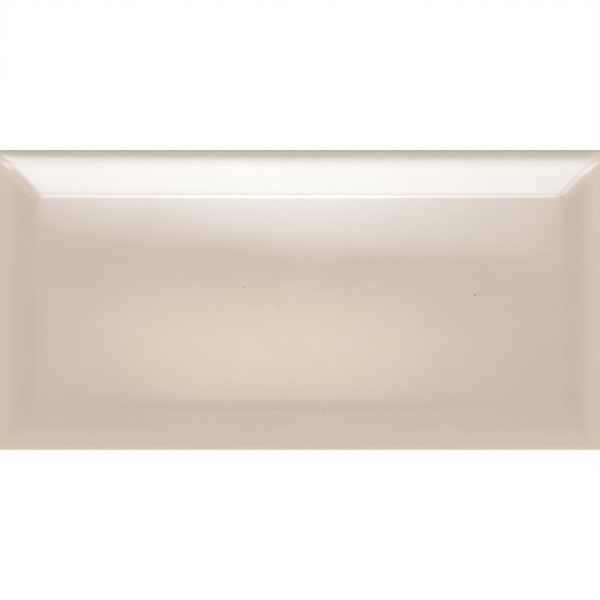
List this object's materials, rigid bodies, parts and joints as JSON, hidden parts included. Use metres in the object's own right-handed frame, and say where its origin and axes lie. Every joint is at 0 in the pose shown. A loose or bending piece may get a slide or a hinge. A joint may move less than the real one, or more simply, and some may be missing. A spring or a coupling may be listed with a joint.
{
  "type": "bevelled subway wall tile",
  "caption": "Oblong glazed ceramic wall tile with a flat raised field, mitred sloping borders, rounded rim and a recessed waffle back for adhesive.",
  "frame": {"origin": "middle of the back, on the plane of its border and ribs", "axes": "+X along the long side, +Y along the short side, +Z out of the glazed face"},
  "size_m": [0.1492, 0.073, 0.008],
  "materials": {
    "glazed_body": "gloss"
  },
  "bodies": {
    "root": {"bevelled_tile": "glazed_body"}
  },
  "joints": []
}
